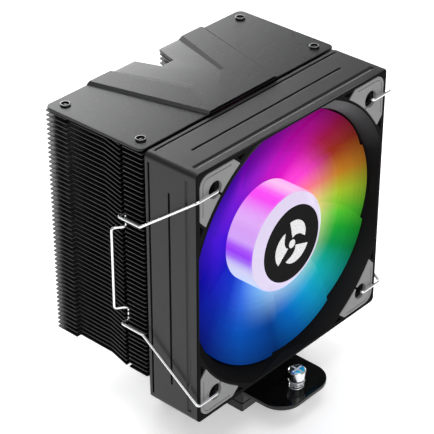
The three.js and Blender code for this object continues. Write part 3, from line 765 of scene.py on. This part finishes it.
def centre_panel():
    """A pressed field with sloped flanks, running out level with the cover around the notch."""
    low, top, ramp_y = 145.42, 146.6, 13.5

    def floor_z(y):
        return top - 1.12 * (y - ramp_y) / (47.7 - ramp_y)

    B0, B1, T0, T1 = (21.5, -6.9), (36.3, 47.7), (20.2, -6.9), (34.5, 47.7)
    I1, I0, J1, J0 = (22.3, 47.7), (11.3, ramp_y), (19.9, 47.7), (8.9, ramp_y)
    N1, N0 = (7.5, 47.7), (3.6, 35.2)
    verts, index = [], {}

    def v(p, z, s):
        key = (round(p[0] * s, 3), p[1], round(z, 4))
        if key not in index:
            index[key] = len(verts)
            verts.append((p[0] * s, p[1], z))
        return index[key]

    faces = []
    half = {}
    for s in (1, -1):
        g = dict(
            B0=v(B0, low, s), B1=v(B1, low, s), T0=v(T0, top, s), T1=v(T1, top, s),
            I1=v(I1, top, s), I0=v(I0, top, s), J1=v(J1, floor_z(47.7), s), J0=v(J0, top, s),
            N1=v(N1, floor_z(47.7), s), N0=v(N0, floor_z(35.2), s), N1l=v(N1, low, s), N0l=v(N0, low, s), J1l=v(J1, low, s),
            I1l=v(I1, low, s), T1l=v(T1, low, s), T0l=v(T0, low, s),
        )
        half[s] = g
        side = [
            [g["T0"], g["T1"], g["B1"], g["B0"]],
            [g["I0"], g["I1"], g["J1"], g["J0"]],
            [g["B1"], g["T1"], g["T1l"]],
            [g["T1l"], g["T1"], g["I1"], g["I1l"]],
            [g["I1l"], g["I1"], g["J1"], g["J1l"]],
            [g["J1l"], g["J1"], g["N1"], g["N1l"]],
            [g["N1l"], g["N1"], g["N0"], g["N0l"]],
            [g["B0"], g["T0l"], g["T0"]],
        ]
        faces += side
    a, b = half[1], half[-1]
    faces.append([a["T0"], a["T1"], a["I1"], a["I0"], a["J0"], b["J0"], b["I0"], b["I1"], b["T1"], b["T0"]])
    faces.append([a["J0"], a["J1"], a["N1"], a["N0"], b["N0"], b["N1"], b["J1"], b["J0"]])
    faces.append([a["N0l"], a["N0"], b["N0"], b["N0l"]])
    faces.append([a["T0l"], a["T0"], b["T0"], b["T0l"]])
    faces.append(
        [a[k] for k in ("B0", "B1", "T1l", "I1l", "J1l", "N1l", "N0l")]
        + [b[k] for k in ("N0l", "N1l", "J1l", "I1l", "T1l", "B1", "B0", "T0l")]
        + [a["T0l"]]
    )
    o = raw("pressed_panel", verts, faces)
    boolean(o, block("mouth", -20.1, 20.1, -9, 1.5, 144, 146.45))
    return o


panel = done(centre_panel(), "cover", rep=["cover_centre_panel"], angle=3, bevel=0.0)
# the front faces of the open mouth under the front lip are painted near-black as its deep shade
panel.data.materials.append(M["hole"])
for poly in panel.data.polygons:
    if poly.normal.y < -0.9 and poly.center.y < -0.0068:
        poly.material_index = 1
# the flanks of the sunk field and the right outer flank are painted near-black as shade, darker than the flats
panel.data.materials.append(M["painted_shade_slope"])
panel.data.materials.append(M["painted_shade_slope_matt"])
for poly in panel.data.polygons:
    if poly.normal.x * poly.center.x < 0 and abs(poly.normal.x) > 0.02 and poly.normal.z > 0.5:
        poly.material_index = 2 if poly.center.x > 0 else 3
    elif poly.normal.x > 0.3 and poly.center.x > 0 and poly.normal.z > 0.4:
        poly.material_index = 3
# a near-black block fills the mouth as painted shade
done(block("panel_mouth_shade_block", -20.0, 20.0, -6.75, 1.3, 145.44, 146.42), "hole", bevel=0.1)

for where, sx, k in WHERE:
    x, y = sx * 54, (-0.5, 41.8)[k]
    head = lathe(
        "cover_screw_head_" + where,
        soft_profile([(0, 141.2), (1.2, 141.2), (1.2, 145.5), (2.25, 145.5), (2.25, 146.15), (0, 146.15)], 0.22, 4),
        64,
        at=(x, y),
    )
    boolean(head, plate("hex", [circle(x, y, 1.72, 48)], 145.7, 148))
    done(head, "screw_black", rep=["cover_screw_" + where], angle=35)
    # a near-black disc in each hex socket stands in for its shade
    socket_shade_disc = plate("screw_socket_shade_" + where, [circle(x, y, 1.66, 48), circle(x, y, 0.95, 6)], 145.72, 146.0, 0.05, 2)
    done(socket_shade_disc, "hole")

# ------------------------------------------------------------------ fan frame
FRONT, REAR = -35.3, -8.0


def square(h, r, steps=8):
    return rounded([(h, FZ + h), (-h, FZ + h), (-h, FZ - h), (h, FZ - h)], r, steps)


def pad_line(grow, keyhole, fine=True):
    """Corner pad in the +X +Z corner, about the fan axis."""
    edge, end, inner = 58 + grow, 38.2 - grow, 64.6 - grow
    a1 = rad(57.8 + 1.6 * grow)  # the ends splay out towards the lip
    pts = [(edge, edge), (end, edge), (inner * math.cos(a1), inner * math.sin(a1))]
    radii = [5, 1.4, 0.7]
    steps = 14
    for i in range(1, steps):
        a = a1 + (math.pi / 4 - a1) * i / steps
        pts.append((inner * math.cos(a), inner * math.sin(a)))
        radii.append(0)
    if keyhole:
        w, d, c, r = 0.5, inner, 49.2 * math.sqrt(2), 3.8

        def at(u, v):
            return ((u - v) / math.sqrt(2), (u + v) / math.sqrt(2))

        pts.append(at(d, w))
        radii.append(0.3)
        gap = math.asin(w / r)
        for i in range(33):
            a = math.pi - gap - (2 * math.pi - 2 * gap) * i / 32
            pts.append(at(c + r * math.cos(a), r * math.sin(a)))
            radii.append(0)
        pts.append(at(d, -w))
        radii.append(0.3)
    else:
        pts.append((inner / math.sqrt(2), inner / math.sqrt(2)))
        radii.append(0)
    for i in range(steps - 1, 0, -1):
        a = math.pi / 2 - (a1 + (math.pi / 4 - a1) * i / steps)
        pts.append((inner * math.cos(a), inner * math.sin(a)))
        radii.append(0)
    pts += [(inner * math.sin(a1), inner * math.cos(a1)), (edge, end)]
    radii += [0.7, 1.4]
    return rounded(pts, radii, 7)


def pad_groove(inset=1.35, width=0.5):
    a, b, low = 58 - inset, 58 - inset - width, 38.2 + 1.6
    return rounded([(a, a), (low, a), (low, b), (b, b), (b, low), (a, low)], [3.7, 0.1, 0.1, 3.2, 0.1, 0.1], 7)


def corner(pts, sx, sz):
    out = [(sx * x, sz * z + FZ) for x, z in pts]
    return out[::-1] if sx * sz < 0 else out


body = plate("fan_shell", [square(60, 2.2)], FRONT, REAR, 0.45, 3, axis="Y")
bell = [(0, FRONT - 3), (66, FRONT - 3)]
for i in range(15):
    a = rad(90 * i / 14)
    bell.append((64.1 - 5.6 * math.sin(a), -29.5 - 5.8 * math.cos(a)))
bell += [(58.5, REAR + 3), (0, REAR + 3)]
duct = lathe("duct_cutter", bell, 224, axis="Y")
boolean(duct, plate("duct_square", [square(58.6, 0.8, 3)], FRONT - 4, REAR + 4, axis="Y"), "INTERSECT")
boolean(body, duct)
cuts = []
pocket = [(36.6, 58), (34.1, 55.7), (30.4, 58)]
for _, sx, sz in CORNERS:
    cuts.append(plate("p", [corner(pad_line(0.3, False), sx, sz)], FRONT - 1, -33.5, axis="Y"))
    cuts.append(plate("p", [corner(pad_line(0.3, False), sx, sz)], -9.2, REAR + 1, axis="Y"))
    for p in (pocket, [(z, x) for x, z in pocket][::-1]):
        cuts.append(plate("p", [corner(p, sx, sz)], FRONT - 1, FRONT + 3, axis="Y"))
boolean(body, merged("cuts", cuts))
holes = [plate("h", [circle(sx * 49.2, sz * 49.2 + FZ, 2.5, 48)], FRONT - 2, REAR + 2, axis="Y") for _, sx, sz in CORNERS]
boolean(body, merged("holes", holes))


grooves = []
for k in range(4):
    turn = Matrix.Translation((0, 0, FZ)) @ Matrix.Rotation(rad(90 * k), 4, "Y")
    for y0, y1, depth, reach in ((-21.45, -20.25, 0.9, 46.7), (-10.7, -9.6, 1.15, 56.5)):
        slot = plate("g", [rounded([(reach, y1), (-reach, y1), (-reach, y0), (reach, y0)], 0.42, 5)], 60 - depth, 62)
        slot.data.transform(turn)
        grooves.append(slot)
    soft = lathe("g", [(0, -56), (1.72, -56), (1.72, 56), (0, 56)], 48)
    soft.data.transform(turn @ Matrix.Translation((0, -30.5, 61.22)) @ Matrix.Rotation(rad(90), 4, "Y"))
    grooves.append(soft)
grooves.append(block("g", 42, 47, -12.4, -7, 24, 27))
for g in grooves:
    boolean(body, g)
body.data.materials.clear()
done(body, "frame", rep=["fan_frame"], angle=24)
# the intake face and the duct are moulded matt; the rounded lip between them carries a painted sheen, palest at the
# upper right
body.data.materials.append(M["duct"])
body.data.materials.append(M["lip"])
for poly in body.data.polygons:
    c = poly.center
    inside = max(abs(c.x), abs(c.z - FZ * MM)) < 0.0592 and c.y < -0.0081
    if inside or (poly.normal.y < -0.5 and c.y < -0.0345):
        poly.material_index = 1
        if -0.0353 < c.y < -0.0290 and -0.995 < poly.normal.y < -0.02:
            poly.material_index = 2

motor = lathe(
    "motor_mount",
    soft_profile([(0, -9.2), (23.5, -9.2), (23.5, -12.6), (22.4, -12.6), (22.4, -11.4), (4.3, -11.4), (4.3, -26.6), (3.4, -26.6), (3.4, -11.0), (0, -11.0)], 0.3, 3),
    96,
    axis="Y",
)
done(motor, "frame")
struts = []
for k in range(4):
    m = Matrix.Translation((0, 0, FZ)) @ Matrix.Rotation(rad(45 + 90 * k + 8), 4, "Y")
    struts.append(block("s", -1.6, 1.6, -12.7, -9.1, 22.8, 60.5, m))
done(merged("motor_struts", struts), "frame", bevel=0.4)

for where, sx, sz in CORNERS:
    pad = plate("intake_pad_" + where, [corner(pad_line(0, True), sx, sz)], -35.5, -33.8, 0.28, 3, axis="Y")
    # a moulded line runs round the two outer edges
    boolean(pad, plate("pad_groove", [corner(pad_groove(), sx, sz)], -37, -35.15, axis="Y"))
    done(pad, "pad", rep=["front_pad_" + where], angle=28)
    pad = plate("exhaust_pad_" + where, [corner(pad_line(0, True), sx, sz)], -8.9, -7.2, 0.28, 3, axis="Y")
    done(pad, "pad", rep=["rear_pad_" + where], angle=28)

# ------------------------------------------------------------------ rotor
hub_profile = [(0, -33.8), (18.0, -33.8), (18.0, -34.6), (18.6, -34.6), (22.6, -31.9), (23.1, -31.1), (23.1, -14.2), (20.8, -14.2), (20.8, -31.4), (4.6, -31.4), (4.2, -28.6), (1.8, -28.6), (1.8, -32.4), (0, -32.4)]
hub = lathe("hub_shell", soft_profile(hub_profile, 0.35, 4), 160, axis="Y")
ROOT = -18.0
import bmesh

bm = bmesh.new()
bm.from_mesh(hub.data)
bmesh.ops.bisect_plane(bm, geom=bm.verts[:] + bm.edges[:] + bm.faces[:], plane_co=(0, ROOT, 0), plane_no=(0, 1, 0))
bm.to_mesh(hub.data)
bm.free()
done(hub, "hub", "rotor", rep=["fan_rotor"], angle=30)
# behind the blade roots the drum takes the hue of the blades
hub.data.materials.append(M["blade"])
for poly in hub.data.polygons:
    c = poly.center
    if c.y > ROOT * MM and math.hypot(c.x, c.z - FZ * MM) > 0.022:
        poly.material_index = 1

BLADES, ARC = 9, 60.0


def blade(k, nu=18, nv=22):
    import itertools

    def at(u, v, w):
        r = 22.95 + (57.6 - 22.95) * u
        sweep = 16 * ((r - 22.3) / 35.3) ** 2
        th = rad(360 / BLADES * k + sweep + (v - 0.5) * ARC)
        uu = (r - 22.3) / 35.3
        # the blades lean forward: the tips stand ahead of the roots
        depth = 3.4 + 0.3 * uu
        lead = -15.6 - 12.3 * max(uu, 0) ** 1.12 - depth / 2
        camber = -(0.4 + 0.5 * uu) * math.sin(math.pi * v)
        t = 1.3 - 0.5 * uu
        thick = t * (1 - abs(2 * v - 1) ** 3.2) ** 0.5 * (1 if u < 0.999 else 1)
        y = lead + depth * v + camber + w * max(thick, 0.12)
        return (r * math.sin(th), y, FZ + r * math.cos(th))

    verts, faces = [], []
    for w in (-0.5, 0.5):
        for i, j in itertools.product(range(nu + 1), range(nv + 1)):
            v = 0.5 - 0.5 * math.cos(math.pi * j / nv)
            verts.append(at(i / nu, v, w))
    n = (nu + 1) * (nv + 1)
    idx = lambda i, j: i * (nv + 1) + j
    for i in range(nu):
        for j in range(nv):
            a, b, c, d = idx(i, j), idx(i + 1, j), idx(i + 1, j + 1), idx(i, j + 1)
            faces.append((a, b, c, d))
            faces.append((n + d, n + c, n + b, n + a))
    for j in range(nv):
        for i in (0, nu):
            a, b = idx(i, j), idx(i, j + 1)
            faces.append((a, b, n + b, n + a) if i == 0 else (b, a, n + a, n + b))
    for i in range(nu):
        for j in (0, nv):
            a, b = idx(i, j), idx(i + 1, j)
            faces.append((b, a, n + a, n + b) if j == 0 else (a, b, n + b, n + a))
    return raw(f"blade_{k + 1}", verts, faces)


for k in range(BLADES):
    done(blade(k), "blade", "rotor", angle=50, flats=False)

disc = lathe("badge_disc", soft_profile([(0, -34.6), (17.7, -34.6), (17.7, -34.1), (0, -34.1)], 0.15, 3), 128, axis="Y")
done(disc, "badge", "rotor", rep=["hub_badge"])
# plain three-vane fan symbol
vane = []
for i in range(25):
    t = i / 24
    a = rad(-8 + 96 * t)
    vane.append((11.2 * math.sin(a) * (1 - 0.25 * t * t), 11.2 * math.cos(a) * (1 - 0.25 * t * t)))
for i in range(25):
    t = i / 24
    a = rad(88 - 84 * t)
    rr = 8.4 - 5.6 * t ** 0.7
    vane.append((rr * math.sin(a), rr * math.cos(a)))
symbol = []
for k in range(3):
    c, s = math.cos(rad(120 * k)), math.sin(rad(120 * k))
    pts = [(x * c - z * s, x * s + z * c + FZ) for x, z in vane]
    symbol.append(plate("v", [pts], -34.68, -34.55, axis="Y"))
symbol.append(plate("v", [circle(0, FZ, 2.0, 48)], -34.68, -34.55, axis="Y"))
done(merged("badge_symbol", symbol), "emblem", "rotor")

# ------------------------------------------------------------------ wire clips
half_run = [
    (-49.2, -35.15, 49.2), (-49.2, -36.9, 49.2), (-61.4, -36.9, 49.2), (-62.5, -7.3, 26.4),
    (-62.5, 5.4, 26.4), (-58.5, 4.5, 26.4), (-58.5, 4.5, 19.8), (-63.3, 8.1, 19.8),
]
run = half_run + [(x, y, -z) for x, y, z in half_run][::-1]
run = [(x, y, z + FZ) for x, y, z in run]
for name, pts in (("left", run), ("right", mirror(run))):
    wire = tube(name + "_clip_wire", bent(pts, 1.3, 8), 0.61, 20)
    done(wire, "wire", name + "_clip", rep=[name + "_fan_clip"], angle=60, flats=False)

# ------------------------------------------------------------------ base
bar_line = rounded([(18.3, 47.5), (-18.3, 47.5), (-18.3, -47.5), (18.3, -47.5)], 11, 20)
bar_holes = [circle(0, 39.5, 2.3, 48), circle(0, -39.5, 2.3, 48)] + [circle(sx * 12.5, sy * 18, 1.8, 32) for sx in (-1, 1) for sy in (-1, 1)]
bar = plate("bar_plate", [bar_line] + bar_holes, 10, 12, 0.35, 4)
done(bar, "bar", rep=["mounting_bar"], angle=25)

grooved = []
for yb, _, _ in PIPES:
    c = lathe("g", [(0, -40), (3.3, -40), (3.3, 40), (0, 40)], 64)
    c.data.transform(Matrix.Translation((0, yb, 4.45)) @ Matrix.Rotation(math.pi / 2, 4, "Y"))
    grooved.append(c)
base = plate("pipe_block", [rounded([(18, 23.6), (-18, 23.6), (-18, -23.6), (18, -23.6)], 1.2, 5)], 4.6, 9.7, 0.4, 3)
plate_low = plate("contact_plate", [rounded([(18, 23.6), (-18, 23.6), (-18, -23.6), (18, -23.6)], 0.6, 4)], 0, 4.3, 0.3, 2)
second = merged("g2", [obj("t", c.data.copy()) for c in grooved])
boolean(base, merged("g1", grooved))
boolean(plate_low, second)
done(base, "block", rep=["base_block"], angle=28)
base.data.materials.append(M["block_front"])
for poly in base.data.polygons:
    if poly.normal.y < -0.9:
        poly.material_index = 1
done(plate_low, "nickel", rep=["cold_plate"], angle=28)
plate_low.data.materials.append(M["block"])
plate_low.data.materials.append(M["block_front"])
for poly in plate_low.data.polygons:
    if poly.normal.z > -0.9:
        poly.material_index = 2 if poly.normal.y < -0.9 else 1

for where, sx, k in WHERE:
    x, y = sx * 12.5, (-18, 18)[k]
    head = lathe(
        "bar_bolt_" + where,
        soft_profile([(0, 6), (1.5, 6), (1.5, 12.05), (2.8, 12.05), (2.8, 13.6), (2.2, 14), (0, 14)], 0.2, 3),
        48,
        at=(x, y),
    )
    boolean(head, merged("x", [block("a", x - 1.7, x + 1.7, y - 0.33, y + 0.33, 13.1, 15)]))
    boolean(head, merged("x", [block("a", x - 0.33, x + 0.33, y - 1.7, y + 1.7, 13.1, 15)]))
    done(head, "bright", rep=["bar_screw_" + where], angle=30)

for where, y in (("front", -39.5), ("rear", 39.5)):
    profile = [
        (0, 2.2), (1.2, 2.2), (1.75, 2.9), (1.75, 8.9), (1.35, 8.9), (1.35, 9.8), (1.75, 9.8), (1.75, 16.6),
        (3.55, 16.6), (3.55, 17.3), (3.9, 17.5), (3.9, 21.3), (3.4, 21.8), (0, 21.8),
    ]
    screw = lathe(where + "_spring_screw", soft_profile(profile, 0.14, 3), 96, at=(0, y))
    boolean(screw, block("a", -3.0, 3.0, y - 0.45, y + 0.45, 21.2, 24))
    boolean(screw, block("a", -0.45, 0.45, y - 3.0, y + 3.0, 21.2, 24))
    done(screw, "bright", where + "_screw", rep=[where + "_mounting_screw"], angle=30)
    cross = block("a", -2.98, 2.98, y - 0.43, y + 0.43, 21.1, 21.55)
    boolean(cross, block("b", -0.43, 0.43, y - 2.98, y + 2.98, 21.1, 21.55), "UNION")
    cross.name = where + "_recess_floor"
    done(cross, "recess", where + "_screw")
    washer = lathe(where + "_washer", soft_profile([(2.15, 15.7), (3.7, 15.7), (3.7, 16.3), (2.15, 16.3), (2.15, 15.7)], 0.15, 3)[:-1] + [(2.15, 15.7)], 72, at=(0, y))
    done(washer, "bright", where + "_washer", rep=[where + "_spring_washer"], angle=35)
    coil = []
    turns, per = 3.0, 36
    for i in range(int(turns * per) + 1):
        t = i / per
        share = min(max((t - 0.5) / (turns - 1), 0), 1)
        a = 2 * math.pi * t
        coil.append((3.0 * math.cos(a), y + 3.0 * math.sin(a), 12.6 + 2.5 * share))
    spring = tube(where + "_coil", coil, 0.28, 14)
    done(spring, "bright", rep=[where + "_spring"], angle=60, flats=False)
    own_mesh(spring)
    ring = [(3.4 * math.cos(rad(a)), y + 3.4 * math.sin(rad(a))) for a in range(0, 261, 10)]
    ring += [(1.68 * math.cos(rad(a)), y + 1.68 * math.sin(rad(a))) for a in range(260, -1, -10)]
    clip = plate(where + "_circlip", [rounded(ring, 0.2, 3)], 9.05, 9.65, 0.08, 2)
    done(clip, "dark_steel", where + "_screw", rep=[where + "_retaining_clip"], angle=35)

# ------------------------------------------------------------------ inner pieces of the motor keep their CAD shape
for node, key in {
    "bearing_sleeve": "bronze",
    "stator_core": "core",
    "stator_windings": "copper",
    "motor_led_board": "board",
    "rotor_yoke": "dark_steel",
    "rotor_magnet": "magnet",
    "fan_shaft": "bright",
}.items():
    o = frame["nodes"][node]
    o.data.materials.clear()
    o.data.materials.append(M[key])

# ------------------------------------------------------------------ floor
floor = raw("floor", [(-4000, -4000, 0), (4000, -4000, 0), (4000, 4000, 0), (-4000, 4000, 0)], [(0, 1, 2, 3)])
floor.data.transform(Matrix.Scale(MM, 4))
fn = Nodes("floor_pale")
fcol = fn.mix(fn.noise(6, 2), (0.95, 0.95, 0.95), (0.97, 0.97, 0.97))
fn.link(fcol, fn.shader.inputs["Base Color"])
fn.shader.inputs["Roughness"].default_value = 0.6
fn.shader.inputs["Specular IOR Level"].default_value = 0.2
fn.link(fcol, fn.shader.inputs["Emission Color"])
fn.shader.inputs["Emission Strength"].default_value = 0.42
floor.data.materials.append(fn.material)
